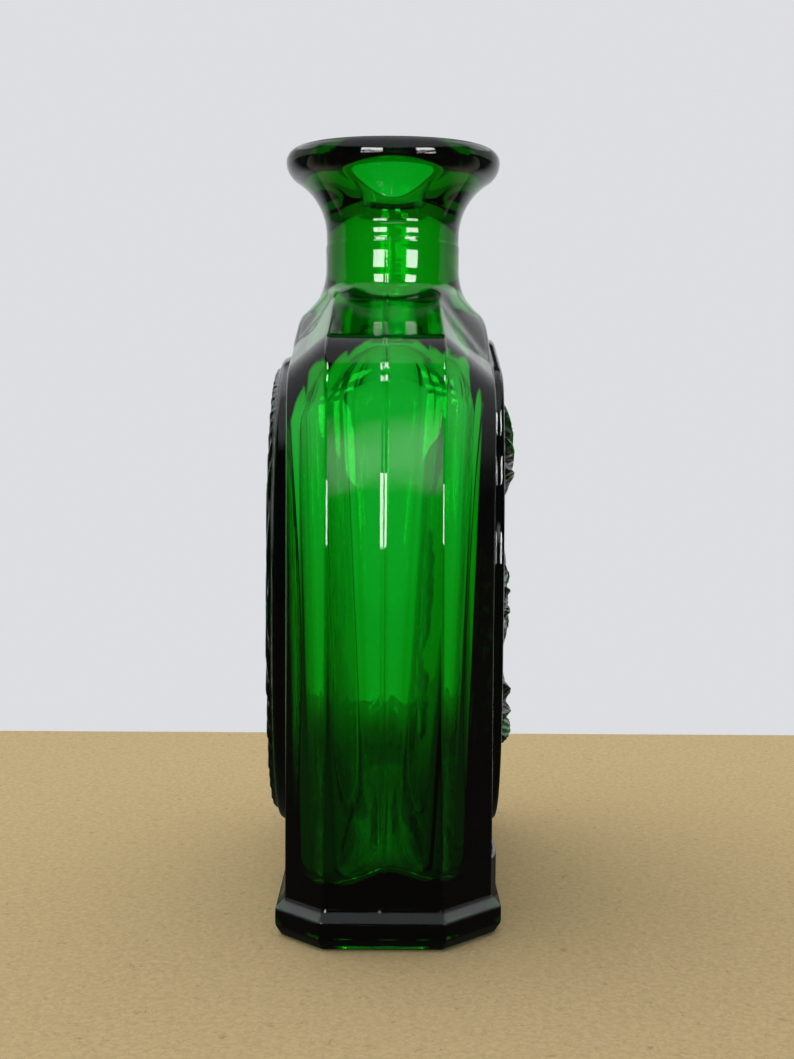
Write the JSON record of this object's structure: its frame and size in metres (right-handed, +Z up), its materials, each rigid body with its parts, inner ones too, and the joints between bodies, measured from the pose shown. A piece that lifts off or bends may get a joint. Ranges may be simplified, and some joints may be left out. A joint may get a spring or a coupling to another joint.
{
  "type": "glass decanter bottle",
  "caption": "Eight-sided green glass flask on an overhanging foot, with gabled shoulders, a round neck, a wide flared lip and raised panels on its wide faces.",
  "frame": {"origin": "on the neck's axis, in the plane that the foot rests on", "axes": "+Z up along the neck's axis; X across the wide faces; the front face, with the relief and the name plaque, looks along -Y"},
  "size_m": [0.1064, 0.0486, 0.1499],
  "materials": {
    "bottle_glass": "clear",
    "relief_glass": "clear"
  },
  "bodies": {
    "root": {"flask": "bottle_glass", "neck_ring": "bottle_glass", "foot": "bottle_glass", "front_panel": "bottle_glass", "back_panel": "bottle_glass", "back_board": "relief_glass", "front_ornament_top": "relief_glass", "front_ornament_middle": "relief_glass", "front_ornament_bottom": "relief_glass", "name_plaque": "bottle_glass", "mould_seam_left": "bottle_glass", "mould_seam_right": "bottle_glass"}
  },
  "joints": []
}
